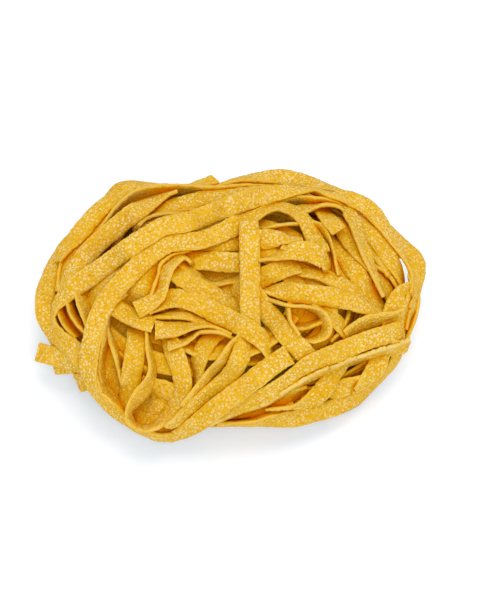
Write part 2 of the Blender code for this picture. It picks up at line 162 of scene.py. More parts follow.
# Routes of the shown ribbons, from the lowest to the topmost: name, group, extra depth in
# thicknesses, lean (1 lies on the slope, -1 stands against it), the earlier stretch that it goes on
# from, and its points. A point is across, down and shown width, all in steps of the photograph;
# a shown width of 20 is face on and 4 is edge on.
ROUTES = (
    ("front_rim_low", "front", 0, 1, None,
     ((372, 388, 5), (358, 402, 6), (345, 409, 6), (330, 415, 4))),
    ("right_low_b", "front", 0, 1, None,
     ((416, 296, 8), (413, 307, 10), (409, 317, 7), (406, 330, 5))),
    ("far_right", "crown", 0, 1, None,
     ((384, 222, 5), (394, 233, 8), (402, 243, 12), (410, 253, 16), (416, 262, 18), (417.5, 273, 16),
      (417, 284, 11), (415, 297, 8), (410, 311, 8))),
    ("stub_c", "front", 1, 1, None,
     ((77.5, 383, 19), (90, 380, 18), (104, 378, 14), (118, 376, 10))),
    ("stub_b", "front", 0, 1, None,
     ((53.5, 365.5, 19), (64, 364.5, 19), (76, 365, 17), (92, 371, 12))),
    ("stub_a", "front", 0, 1, None,
     ((37.5, 352, 20), (50, 355, 20), (63, 359, 18), (76, 365, 14), (90, 372, 10))),
    ("left_rim", "crown", 0, 1, None,
     ((90, 221, 5), (81, 228, 6), (73, 235, 7), (65, 244, 10), (58, 256, 12), (51, 270, 14),
      (47, 285, 18), (45, 300, 20), (46, 315, 20), (50, 328, 16), (55, 339, 11), (63, 349, 8),
      (74, 359, 6))),
    ("thin_left_edge", "crown", 0, 1, None,
     ((70, 244, 4), (67, 250, 4), (62, 262, 4), (59, 275, 4), (58, 290, 4))),
    ("top_stub", "crown", 0, 1, None,
     ((178, 191, 6), (194, 186.5, 9), (206, 182.5, 11), (215, 179.3, 12))),
    ("top_rim", "crown", 0, 1, None,
     ((212, 189, 4), (224, 184, 5), (237, 180.5, 6), (250, 178.5, 9), (264, 177.5, 13), (280, 177, 17),
      (298, 179.5, 15), (315, 184, 12), (330, 188, 8), (344, 192, 4))),
    ("cap", "crown", 0, 1, None,
     ((94, 209, 4), (108, 197, 6), (117, 190, 12), (130, 186, 12), (148, 186, 6), (160, 187, 4))),
    ("back_floor", "crown", 1, 1, None,
     ((60, 292, 12), (67, 272, 16), (77, 254, 18), (90, 237, 18), (104, 221, 18), (119, 208, 18),
      (135, 199.5, 16), (152, 195, 12), (170, 193, 8))),
    ("outer_back", "crown", 0, 1, None,
     ((58, 262, 8), (68, 246, 14), (80, 233, 18), (93, 217, 18), (105, 205, 16), (117, 196, 14),
      (130, 189, 13), (145, 186, 8), (165, 186, 5), (190, 186, 4))),
    ("back_wall", "crown", 0.5, -1, None,
     ((66, 276, 4), (76, 262, 4), (87, 247, 5), (97, 234, 5), (106, 222, 6), (116, 210, 8),
      (127, 200.5, 10), (140, 194, 12), (155, 190.5, 13), (172, 189.5, 12), (190, 190, 12),
      (206, 190.5, 11), (222, 189.5, 9), (240, 187.5, 8), (260, 187, 6), (280, 189, 5))),
    ("under_top", "crown", 0, 1, None,
     ((146, 218, 7), (157, 211.5, 11), (172, 206, 14), (190, 201.5, 16), (208, 197, 15),
      (226, 193, 12), (246, 189.5, 9), (266, 188.5, 7), (286, 190, 6))),
    ("thin_under", "crown", 0.5, -1, None,
     ((136, 228, 4), (148, 218, 4), (165, 213.5, 4), (182, 214, 4), (200, 212, 4), (214, 206, 4))),
    ("front_inner", "front", 0.5, -1, None,
     ((214, 423, 5), (232, 421, 6), (250, 419, 8), (266, 414, 8), (280, 409, 6), (292, 403, 5))),
    ("front_back", "front", 0.5, 1, None,
     ((222, 414, 12), (250, 409, 16), (270, 404, 16), (290, 397, 14), (306, 390, 10))),
    ("front_rim", "front", 0, 1, None,
     ((386, 374, 6), (378, 381, 8), (366, 390, 13), (352, 400, 15), (336, 407, 17), (316, 413, 17),
      (296, 418, 17), (276, 420, 14), (258, 423, 8), (240, 424, 6), (216, 424, 5))),
    ("rim_br", "front", 0, 1, None,
     ((398, 350, 10), (396, 357, 10), (391, 366, 9), (383, 374, 7), (372, 381, 6), (362, 387, 5),
      (350, 393, 4))),
    ("right_low_a", "front", 0, 1, None,
     ((411, 288, 8), (408, 300, 8), (404, 312, 9), (401, 324, 10), (401, 338, 8), (398, 350, 8))),
    ("inner_floor", "front", 2, 1, None,
     ((318, 388, 14), (333, 390, 18), (346, 387, 18), (360, 382, 12), (372, 376, 8))),
    ("upright_right", "front", 0, 1, None,
     ((384, 340, 18), (379, 358, 20), (376, 367, 19), (370, 376, 17), (363, 384, 12), (355, 391, 6))),
    ("elbow", "front", 0.5, 1, None,
     ((350, 344, 14), (342, 360, 17), (334, 372, 18), (326, 386, 19), (316, 397, 18), (303, 404, 12),
      (291, 407.5, 7), (279, 408.5, 4), (268, 409.5, 4))),
    ("shade_panel", "heart", 1.5, -1, None,
     ((182, 250, 12), (170, 258, 14), (157, 270, 18), (145, 284, 20), (134, 297, 20), (124, 308, 18))),
    ("low_leaf", "front", 1, 1, None,
     ((148, 392, 10), (155, 401, 10), (160, 410, 12), (166, 418, 12))),
    ("foot_ribbon", "front", 0.5, 1, None,
     ((120, 396, 14), (133, 401, 18), (146, 404.5, 20), (160, 405, 20), (174, 403, 14))),
    ("short_leaf", "front", 0.5, 1, None,
     ((142, 382, 12), (152, 386, 16), (165, 390, 18), (178, 394, 18), (192, 396, 12))),
    ("gap_floor", "front", 1, 1, None,
     ((104, 346, 15), (109, 362, 19), (113, 378, 20), (117, 394, 17))),
    ("loop_floor", "front", 0.5, 1, None,
     ((124, 414, 14), (138, 420, 20), (153, 424.5, 20), (169, 424, 18), (184, 418, 12))),
    ("edge_thin", "front", 0, -1, None,
     ((105, 316, 5), (109, 330, 7), (113, 343, 9), (117, 355, 9), (120, 367, 8), (122, 381, 6))),
    ("edge_inner", "front", 0, -1, None,
     ((128, 293, 4), (120, 301, 5), (112, 312, 7), (107.5, 325, 8), (105, 340, 9), (103, 355, 10),
      (102, 370, 10), (104, 382, 11), (108, 391, 13), (115, 399, 14), (124, 405, 13),
      (134, 412, 8))),
    ("inside_left_a", "crown", 0.5, -1, None,
     ((60, 302, 7), (63, 316, 9), (69, 327, 10), (79, 338, 8))),
    ("inside_left_b", "crown", 0.5, -1, None,
     ((69, 297, 7), (73, 312, 9), (79, 323, 9), (87, 334, 7))),
    ("inside_left_c", "crown", 0.5, -1, None,
     ((80, 290, 12), (84, 306, 14), (87, 318, 11), (90, 330, 7))),
    ("upright_left", "front", 0.3, 1, None,
     ((138, 322, 18), (137, 333, 20), (136, 345, 21), (134, 358, 21), (132, 372, 21), (130, 386, 20),
      (127, 400, 16), (126, 412, 12), (130, 422, 8))),
    ("panel_mid", "front", 0.5, 1, None,
     ((224, 330, 14), (214, 336, 16), (207, 343, 18), (201, 353, 18), (198, 363, 16), (197, 373, 13),
      (195, 386, 8))),
    ("hole_floor", "heart", 1.5, 1, None, ((284, 328, 8), (293, 328, 8), (306, 326, 9), (322, 320, 8))),
    ("under_wedge", "heart", 1, 1, None,
     ((314, 304, 8), (325, 312, 10), (335, 320, 14), (345, 330, 14), (354, 340, 12))),
    ("ring_left", "heart", 1, -1, None,
     ((287.5, 308, 6), (288.5, 315, 6), (291, 323, 5), (298, 334, 5))),
    ("fan_c", "crown", 0.5, 1, None,
     ((330, 258, 10), (337, 268, 14), (345, 280, 18), (356, 290, 16), (368, 300, 12), (380, 308, 8))),
    ("fan_g", "crown", 0.5, 1, None, ((370, 264, 8), (378, 276, 12), (386, 287, 14), (393, 299, 12))),
    ("fan_f", "crown", 0.3, 1, None,
     ((366, 260, 6), (376, 266, 6), (386, 271, 8), (393, 279, 7), (399, 290, 5))),
    ("fan_e", "crown", 0.3, 1, None,
     ((358, 224, 6), (366, 236, 10), (374, 250, 16), (382, 262, 12), (390, 276, 8))),
    ("fan_b", "crown", 0.3, 1, None,
     ((330, 236, 8), (338, 246, 14), (346, 258, 20), (354, 270, 21), (362, 282, 20), (371, 294, 17),
      (380, 305, 12), (387, 313, 8))),
    ("fan_a", "crown", 0, 1, None,
     ((334, 218, 12), (343, 230, 16), (352, 242, 18), (361, 253, 18), (369, 264, 12), (378, 279, 6))),
    ("fan_d", "crown", 0, 1, None,
     ((352, 206, 8), (362, 218, 12), (370, 230, 18), (380, 244, 18), (389.5, 258, 17), (397, 271, 13),
      (402, 286, 6))),
    ("shade_strand", "heart", 1, -1, None,
     ((304, 214, 6), (312, 224, 8), (321, 231, 12), (328, 242, 10), (333, 254, 6), (336, 266, 5),
      (339, 278, 4))),
    ("diamond", "crown", 0, 1, None, ((314, 201, 12), (323, 212, 14), (331, 222, 16), (339, 231.5, 16))),
    ("arch_wall", "heart", 1, -1, None,
     ((246, 216, 5), (262, 209.5, 8), (278, 204.5, 10), (294, 201.5, 11), (310, 201, 11),
      (326, 202.5, 10), (342, 208, 8), (354, 216, 6))),
    ("leaf_arch", "crown", 0, 1, None,
     ((290, 218, 8), (300, 211, 12), (312, 207, 8), (325, 204.5, 5), (337, 206, 6), (347, 211, 12),
      (353, 220, 15), (357, 231, 13), (361, 243, 11), (365, 255, 9), (370, 267, 7), (376, 280, 6),
      (384, 297, 5))),
    ("arch_thin", "heart", 1, -1, None,
     ((262, 230, 4), (275, 226.5, 4), (288, 224.5, 4), (302, 224, 4))),
    ("leaf_right_a", "heart", 0.3, 1, None,
     ((244, 240, 18), (256, 240, 20), (268, 239, 20), (280, 238, 15), (292, 239, 7), (301, 240, 4))),
    ("fan_1", "crown", 0.5, 1, None,
     ((294, 268, 8), (303, 272, 12), (318, 274, 14), (335, 281, 16), (350, 290, 16), (365, 300, 14),
      (378, 308, 12), (390, 314, 8))),
    ("left_bar_b", "heart", 1, 1, None,
     ((192, 284, 6), (203, 280, 8), (215, 283, 8), (228, 280, 10), (242, 277, 12))),
    ("behind_left", "heart", 1.5, 1, None,
     ((244, 268, 14), (240, 280, 14), (236, 292, 14), (236, 306, 14))),
    ("left_bar_a", "heart", 0.3, 1, None,
     ((180, 260, 14), (190, 260, 18), (205, 261, 19), (222, 262, 20), (242, 263, 20))),
    ("bar_right_mid", "heart", 0, 1, None,
     ((252, 284, 20), (262, 278, 20), (275, 272, 20), (288, 268, 18), (300, 268, 13))),
    ("arch_end", "crown", 1, 1, None,
     ((320, 254, 20), (318, 248, 20), (315, 240.5, 18), (310, 230, 16))),
    ("bar_right_top", "heart", 0, 1, None,
     ((260, 260, 5), (267, 258.5, 6), (275, 256.5, 9), (285, 253, 14), (298, 251, 19),
      (310, 252.5, 20), (319, 257, 18), (325, 264, 13), (327, 273, 7))),
    ("wedge", "heart", 0, 1, None,
     ((260, 291.5, 5), (267, 290.5, 8), (277, 290, 15), (290, 292, 20), (310, 295, 21),
      (330, 297, 20), (350, 301, 18), (368, 308, 14), (382, 315, 10))),
    ("ring", "heart", 0, -1, None,
     ((259, 295.5, 4), (266, 298, 4), (275, 302, 5), (290, 306, 5), (304, 307, 5), (314, 310, 7),
      (322, 316, 10), (326, 325, 13), (323, 334, 12), (314, 339, 9), (304, 340, 6), (296, 339, 5))),
    ("cross_right", "crown", 0, 1, None,
     ((413, 276, 10), (411, 288, 12), (403, 294, 17), (397, 303, 20), (392, 313, 19), (389, 322, 15),
      (386, 334, 12))),
    ("ledge", "front", 0.3, 1, None,
     ((400, 312, 6), (392, 316, 8), (380, 320, 14), (368, 323, 16), (356, 329, 15), (344, 338, 12))),
    ("slab_start", "heart", 0.3, 1, None, ((250, 290, 20), (256, 298, 20), (268, 313, 21))),
    ("arch_behind", "heart", 0.5, -1, None,
     ((206, 243, 5), (196, 247, 5), (185, 252, 4), (176, 254, 5), (168, 259, 6), (161, 267, 6),
      (158, 277, 5), (154, 288, 5), (150, 298, 4))),
    ("hook_back", "heart", 0, 1, None,
     ((174, 257, 10), (181, 261, 12), (188, 267.5, 12), (196, 276.5, 12), (203, 284.5, 12),
      (211, 292, 10))),
    ("diag_b", "heart", 0.5, 1, None,
     ((170, 270, 14), (180, 277, 18), (192, 284, 18), (205, 291, 18), (218, 298, 18), (232, 306, 16),
      (245, 314, 14))),
    ("under_main", "heart", 0.3, 1, None,
     ((148, 318, 6), (157, 316, 6), (170, 314, 10), (185, 314, 12), (198, 318, 12), (212, 324, 12),
      (230, 333, 10))),
    ("curl_top", "front", 0, -1, None,
     ((145, 316, 5), (146, 326, 5), (147.5, 336, 5), (149, 345, 8))),
    ("cross_stub", "front", 0.3, 1, None,
     ((106, 305, 14), (117, 309, 18), (128, 315, 18), (140, 320, 18), (154, 325, 16))),
    ("inner_back", "crown", 0, 1, None,
     ((60, 292, 6), (68, 276, 12), (80, 262, 18), (93, 248, 22), (106, 236, 24), (120, 224, 24),
      (134, 213, 20), (147, 205, 15), (159, 198, 10), (169, 193.5, 6), (178, 191, 4))),
    ("sweep_upper_tail", "crown", 0, 1, None,
     ((56, 307, 10), (53, 318, 6), (55, 329, 10), (62, 339, 15), (71, 347, 19), (80, 355, 20),
      (87, 366, 18), (93, 380, 12), (99, 392, 8))),
    ("sweep_inner", "crown", 0, 1, "arch_end",
     ((310, 230, 16), (303, 219, 14), (294, 211.5, 13), (283, 207.5, 11),
      (272, 207.5, 10), (262, 210, 13), (250, 217, 16), (240, 223, 20), (225, 231, 19),
      (205, 239, 18), (188, 242, 18), (172, 243, 18), (160, 248, 19), (147, 258, 20),
      (130, 274, 21), (115, 290, 22), (104, 306, 22), (97, 322, 21), (92.5, 338, 19), (89.5, 354, 19),
      (88.5, 370, 17), (91, 384, 13), (98, 395, 11), (108, 405, 13), (120, 415.5, 13),
      (132, 425, 9), (144, 432, 8), (157, 436.5, 9), (171, 437, 11))),
    ("sweep_upper", "crown", 0, 1, "sweep_upper_tail",
     ((411, 296, 6), (412, 280, 5), (409, 268, 5), (404, 257, 7), (397, 246, 9), (390, 236, 11),
      (382, 224, 14), (372, 212, 17), (360, 203, 16), (347, 198, 15), (333, 195, 9), (318, 191, 4),
      (300, 190, 9), (280, 192, 16), (262, 196, 19), (250, 199, 20), (225, 208, 20),
      (200, 218, 20), (183, 223, 19), (165, 226, 19), (150, 234, 19), (130, 247, 20),
      (110, 262, 21), (90, 276, 21), (75, 287, 20), (63, 297, 16), (56, 307, 10))),
    ("curl_loop", "front", 0, -1, "curl_top",
     ((149, 345, 8), (151, 354, 10), (152.5, 363, 10), (152.5, 371, 9), (150.5, 379, 12),
      (146, 387.5, 15), (140, 395.5, 15), (134, 403, 12), (130, 410, 9), (129, 417, 8),
      (132, 423, 8), (139, 427.5, 8), (149, 428, 9), (160, 422, 12), (170, 412.5, 15),
      (178, 400, 17), (182.5, 388, 18), (182, 376, 19), (178.5, 363, 19), (174, 351, 19),
      (170, 341, 17), (167, 331, 14))),
    ("tine_b", "front", 0, 1, None,
     ((168, 345.5, 13), (175, 343, 12), (182, 341.5, 10), (190, 337, 8), (198, 332.5, 6),
      (208, 331.5, 5), (218, 332.5, 4), (228, 336, 4), (238, 342, 4))),
    ("tine_a", "front", 0, 1, None,
     ((155, 330, 20), (165, 330, 17), (175, 329.5, 16), (183, 328, 13), (190, 326, 10), (198, 325, 8),
      (210, 326.5, 5), (220, 329.5, 4), (232, 335, 4))),
    ("side_arm_b", "front", 0, 1, None,
     ((248, 330, 12), (242, 338, 12), (232, 348, 12), (222, 362, 12), (211, 374, 12), (202, 386, 12),
      (193, 396, 10), (184, 406, 8))),
    ("side_arm", "front", 0, 1, None,
     ((250, 330, 18), (245, 342, 18), (241, 355, 19), (234, 370, 19), (222, 384, 19), (205, 397, 17),
      (192, 408, 15), (180, 419, 12), (168, 427, 8))),
    ("vertical_bar", "heart", 0, 1, None,
     ((249, 222, 20), (249.5, 240, 20), (250, 260, 20), (250, 280, 20), (250, 300, 20),
      (250.5, 327, 20))),
    ("diag_main", "front", 0, 1, None,
     ((147, 309, 14), (155, 305, 16), (163, 301, 18), (172, 298.5, 19), (183, 299, 19),
      (195, 303, 19), (208, 309, 20), (222, 316, 20), (236, 323, 20), (249, 330, 20), (260, 338, 19),
      (267, 347, 14), (272, 358, 8))),
    ("hook", "heart", 0, 1, None,
     ((136, 310, 19), (147, 304.5, 17), (156, 298, 15), (161, 290, 13), (164, 279, 13), (168, 269, 12),
      (175, 261, 10), (182, 257, 8), (188, 259.5, 6), (193, 265, 4))),
    ("slab_end", "heart", 0, 1, "slab_start",
     ((268, 313, 21), (280, 327, 21), (292, 341, 21), (305, 354, 21), (313, 363.5, 20))),
    ("under_long", "front", 0.5, 1, None,
     ((405, 346, 10), (388, 347, 14), (368, 352, 16), (348, 358, 16), (328, 365, 16), (308, 376, 12))),
    ("torn", "front", 0, 1, None,
     ((408, 345, 14), (392, 350, 12), (378, 353, 10), (365, 357, 9), (350, 362, 9), (335, 368, 8),
      (320, 373, 8), (305, 381, 8), (292, 389, 8), (280, 397, 8), (268, 404, 7), (252, 410, 7),
      (238, 414, 7), (225, 418, 6), (211, 424, 4))),
    ("long_top", "front", 0, 1, None,
     ((399, 330, 18), (385, 335, 19), (370, 339, 19), (355, 345, 19), (340, 351, 19), (325, 357, 18),
      (310, 363, 17), (298, 371, 15), (287, 380, 14), (276, 388.5, 16), (262, 396.5, 17),
      (248, 402.5, 17), (234, 408, 16), (221, 413, 14))),
    ("front_arm", "crown", 0, 1, "sweep_inner",
     ((171, 437, 11), (185, 431.5, 15), (199, 422, 19), (214, 410, 20), (235, 394, 20),
      (256, 378, 20), (276, 362.5, 20), (289, 354.5, 20))),
)

CENTRE = np.array((0.0, 0.0, WIDEST_LEVEL))
SEMI_AXES = np.array((NEST_LENGTH / 2, NEST_BREADTH / 2, NEST_HEIGHT - WIDEST_LEVEL))
SIGHT = np.array((0.0, -math.cos(SIGHT_ELEVATION), math.sin(SIGHT_ELEVATION)))
SIGHT_UP = np.array((0.0, math.sin(SIGHT_ELEVATION), math.cos(SIGHT_ELEVATION)))
ACROSS = np.array((1.0, 0.0, 0.0))
AIM = (CENTRE + ACROSS * (PHOTO_WIDTH / 2 - CENTRE_U) * STEP_SIZE
       + SIGHT_UP * (CENTRE_V - PHOTO_HEIGHT / 2) * STEP_SIZE)
EYE = AIM + SIGHT * SIGHT_DISTANCE
TURN = np.array(((math.cos(NEST_TURN), -math.sin(NEST_TURN), 0.0),
                 (math.sin(NEST_TURN), math.cos(NEST_TURN), 0.0), (0.0, 0.0, 1.0)))
ROWS, COLS = PHOTO_HEIGHT, PHOTO_WIDTH


def unit(vectors):
    return vectors / np.maximum(np.linalg.norm(vectors, axis=-1, keepdims=True), 1e-12)


def blur(values, steps):
    """A soft running mean over a number of samples each way, with the ends held."""
    if steps < 1:
        return values
    kernel = np.hanning(2 * steps + 3)[1:-1]
    padded = np.pad(values, steps, mode="edge")
    return np.convolve(padded, kernel / kernel.sum(), mode="valid")


def eased(reach):
    """The same reach, but nowhere steeper along the ribbon than dry pasta bends down."""
    fall = np.arange(len(reach)) * STEEPEST * STEP_SIZE
    ahead = np.maximum.accumulate(reach + fall) - fall
    behind = (np.maximum.accumulate(reach[::-1] + fall) - fall)[::-1]
    return np.maximum(ahead, behind)


# Places: from the photograph's plane to space and back

def sight_lines(across, down):
    flat = (CENTRE + np.multiply.outer((across - CENTRE_U) * STEP_SIZE, ACROSS)
            + np.multiply.outer((CENTRE_V - down) * STEP_SIZE, SIGHT_UP))
    return flat, unit(EYE - flat)


def skin_reach(across, down):
    """How far towards the eye the mound's skin lies in front of the plane."""
    flat, toward = sight_lines(across, down)
    start = (flat - CENTRE) @ TURN / SEMI_AXES
    way = toward @ TURN / SEMI_AXES
    a = (way * way).sum(-1)
    b = (start * way).sum(-1)
    c = (start * start).sum(-1) - 1
    reach = (-b + np.sqrt(np.maximum(b * b - a * c, 0.0))) / a
    point = flat + toward * reach[..., None]
    radius = np.hypot(point[..., 0], point[..., 1])
    return reach - DISH_DEPTH * np.exp(-(radius / DISH_RADIUS) ** 2)


def skin_normal(points):
    return unit(((points - CENTRE) @ TURN / SEMI_AXES ** 2) @ TURN.T)


def to_photo(points):
    """Across and down of points in space."""
    ray = points - EYE
    flat = EYE + ray * (SIGHT_DISTANCE / -(ray @ SIGHT))[..., None]
    return (CENTRE_U + (flat - CENTRE) @ ACROSS / STEP_SIZE,
            CENTRE_V - (flat - CENTRE) @ SIGHT_UP / STEP_SIZE)


def clear_parts(points):
    """Slices of a path that stay clear of the openings seen right through the heap."""
    across, down = to_photo(points)
    free = np.ones(len(points), bool)
    for at_u, at_v, wide, high in OPENINGS:
        off_u = (across - at_u) / (wide + FACE_ON / 2)
        off_v = (down - at_v) / (high + OPENING_MARGIN)
        free &= off_u ** 2 + off_v ** 2 > 1
    edges = np.flatnonzero(np.diff(np.concatenate(([0], free.astype(int), [0]))))
    return [slice(a, b) for a, b in zip(edges[::2], edges[1::2]) if b - a > SHORTEST_PART]


# Laying the shown ribbons

def curve(points, spacing):
    """Samples of a smooth curve through the points, evenly spaced across the photograph."""
    points = np.array(points, float)
    ends = np.vstack((2 * points[0] - points[1], points, 2 * points[-1] - points[-2]))
    t = np.linspace(0, 1, SPLINE_STEPS, endpoint=False)[:, None]
    dense = []
    for a, b, c, d in zip(ends, ends[1:], ends[2:], ends[3:]):
        dense.append(0.5 * (2 * b + (c - a) * t + (2 * a - 5 * b + 4 * c - d) * t * t
                            + (3 * b - a - 3 * c + d) * t ** 3))
    dense = np.vstack(dense + [points[-1:]])
    run = np.concatenate(([0.0], np.cumsum(np.linalg.norm(np.diff(dense[:, :2], axis=0), axis=1))))
    want = np.linspace(0, run[-1], max(FEWEST_SECTIONS, round(run[-1] / spacing) + 1))
    return np.stack([np.interp(want, run, dense[:, k]) for k in range(3)], axis=1)


def roll_of(shown):
    """The angle by which a ribbon is turned about its length to show a given width."""
    return np.arccos(np.clip((shown - EDGE_ON) / (FACE_ON - EDGE_ON), 0.0, 1.0))


class Leg:
    """One stretch of a ribbon on the photograph's plane, with its roll and reach."""

    def __init__(self, route):
        self.name, self.group, self.extra, self.lean, self.meets, points = route
        samples = curve(points, LEG_SPACING)
        self.across, self.down = samples[:, 0], samples[:, 1]
        self.roll = roll_of(samples[:, 2])
        along = unit(np.gradient(samples[:, :2], axis=0))
        self.side = np.stack((-along[:, 1], along[:, 0]), axis=1)
        self.reach = skin_reach(self.across, self.down)
        self.lean *= self.natural_lean()

    def natural_lean(self):
        """1 or -1, whichever lays the ribbon flatter on the mound."""
        flat, toward = sight_lines(self.across, self.down)
        points = flat + toward * self.reach[:, None]
        along = unit(np.gradient(points, axis=0))
        facing = unit(toward - along * (toward * along).sum(-1)[:, None])
        lifted = (np.cross(along, facing) * skin_normal(points)).sum(-1)
        return 1 if (lifted * np.sin(self.roll)).sum() > 0 else -1

    def clear(self):
        return (RIBBON_THICKNESS / 2 + CLEARANCE) * np.cos(self.roll)

    def nested(self, nearer):
        """The far edge of a ribbon on edge counts only in part, as it nests between others."""
        return np.where(nearer < 0, nearer * EDGE_NESTING, nearer)

    def footprint(self, count):
        """Rows of places across the ribbon, with how far each is nearer the eye than the middle."""
        share = np.linspace(-1, 1, count)
        half = RIBBON_WIDTH / 2
        thick = RIBBON_THICKNESS / 2
        reach_out = (half * np.cos(self.roll) + thick * np.sin(self.roll)) / STEP_SIZE
        across = self.across[:, None] + np.multiply.outer(self.side[:, 0] * reach_out, share)
        down = self.down[:, None] + np.multiply.outer(self.side[:, 1] * reach_out, share)
        nearer = np.multiply.outer(-self.lean * half * np.sin(self.roll), share)
        return across, down, nearer

    def cells(self, count):
        across, down, nearer = self.footprint(count)
        rows = np.clip(np.round(down).astype(int), 0, ROWS - 1)
        cols = np.clip(np.round(across).astype(int), 0, COLS - 1)
        return rows, cols, nearer


def covered_field(wound, shape):
    """How near the eye the wound ribbons reach, over the whole plane."""
    field = np.full(shape, -FAR_AWAY)
    for _, points, normals in wound:
        dense = np.linspace(0, len(points) - 1, len(points) * FIELD_FINENESS)
        whole = np.arange(len(points))
        middle = np.stack([np.interp(dense, whole, points[:, k]) for k in range(3)], axis=1)
        normal = np.stack([np.interp(dense, whole, normals[:, k]) for k in range(3)], axis=1)
        across = unit(np.cross(np.gradient(middle, axis=0), normal))
        for share in np.linspace(-0.5, 0.5, FIELD_COLUMNS):
            place = middle + across * (share * RIBBON_WIDTH)
            cols, rows = to_photo(place)
            rows = np.clip(np.round(rows).astype(int), 0, ROWS - 1)
            cols = np.clip(np.round(cols).astype(int), 0, COLS - 1)
            flat, toward = sight_lines(cols.astype(float), rows.astype(float))
            np.maximum.at(field, (rows, cols), ((place - flat) * toward).sum(axis=1))
    return field


def settle(legs, floor_field):
    """Eases the legs apart where they cross, each near the skin and in its place in the order."""
    shape = floor_field.shape
    for leg in legs:
        leg.target = leg.reach.copy()
        leg.near_cells, leg.all_cells = leg.cells(NEAR_CELLS), leg.cells(ALL_CELLS)
    for _ in range(SETTLING_ROUNDS):
        field = floor_field.copy()
        for leg in legs:
            rows, cols, nearer = leg.near_cells
            needed = (field[rows, cols] - leg.nested(nearer)).max(axis=1) + leg.clear()
            leg.reach += SETTLING_SHARE * np.maximum(needed - leg.reach, 0)
            rows, cols, nearer = leg.all_cells
            np.maximum.at(field, (rows, cols), (leg.reach + leg.clear())[:, None] + nearer)
        ceiling = np.full(shape, FAR_AWAY)
        for leg in reversed(legs):
            rows, cols, nearer = leg.near_cells
            room = (ceiling[rows, cols] - nearer).min(axis=1) - leg.clear()
            leg.reach -= SETTLING_SHARE * np.maximum(leg.reach - room, 0)
            rows, cols, nearer = leg.all_cells
            under = (leg.reach - leg.clear())[:, None] + leg.nested(nearer)
            np.minimum.at(ceiling, (rows, cols), under)
        for leg in legs:
            moved = (leg.reach - leg.target) * (1 - SKIN_PULL)
            leg.reach = leg.target + blur(moved, BEND_STEPS)


def join(leg, other, height):
    """Brings the end of the leg that meets an earlier one to the earlier one's depth."""
    count = len(height)
    ends = {}
    for own in (0, count - 1):
        for theirs in (0, len(other.across) - 1):
            gap = math.hypot(leg.across[own] - other.across[theirs],
                             leg.down[own] - other.down[theirs])
            ends[gap] = (own, theirs)
    own, theirs = ends[min(ends)]
    away = np.abs(np.arange(count) - own) / JOIN_STEPS
    ease = np.clip(away, 0, 1) ** 2 * (3 - 2 * np.clip(away, 0, 1))
    return other.reach[theirs] * (1 - ease) + height * ease


# Ribbons in space

class Ribbon:
    """A path in space with the direction that its broad face looks in."""

    def __init__(self, name, group, points, normals, spacing):
        run = np.concatenate(([0.0], np.cumsum(np.linalg.norm(np.diff(points, axis=0), axis=1))))
        want = np.linspace(0, run[-1], max(FEWEST_SECTIONS, round(run[-1] / spacing) + 1))
        self.group = group
        self.torn = name == "torn"
        self.points = np.stack([np.interp(want, run, points[:, k]) for k in range(3)], axis=1)
        self.normals = unit(np.stack([np.interp(want, run, normals[:, k]) for k in range(3)], axis=1))


def lowest_middle(normals):
    """How high a ribbon's middle must lie for its edges to clear the table."""
    upright = np.sqrt(1 - np.clip(normals[:, 2], -1, 1) ** 2)
    return RIBBON_THICKNESS + RIBBON_WIDTH / 2 * upright


def leg_path(legs):
    """Points and normals of one ribbon made of one leg, or of several that meet."""
    across = np.concatenate([leg.across for leg in legs])
    down = np.concatenate([leg.down for leg in legs])
    reach = blur(np.concatenate([leg.reach for leg in legs]), REACH_BLUR)
    roll = blur(np.concatenate([leg.roll * leg.lean for leg in legs]), ROLL_BLUR)
    flat, toward = sight_lines(across, down)
    points = flat + toward * reach[:, None]
    along = unit(np.gradient(points, axis=0))
    facing = unit(toward - along * (toward * along).sum(-1)[:, None])
    normals = facing * np.cos(roll)[:, None] + np.cross(along, facing) * np.sin(roll)[:, None]
    lowest = lowest_middle(normals)
    lifted = blur(np.maximum(lowest - points[:, 2], 0) / toward[:, 2], BEND_STEPS)
    points = points + toward * lifted[:, None]
    points[:, 2] = np.maximum(points[:, 2], lowest)
    return points, normals


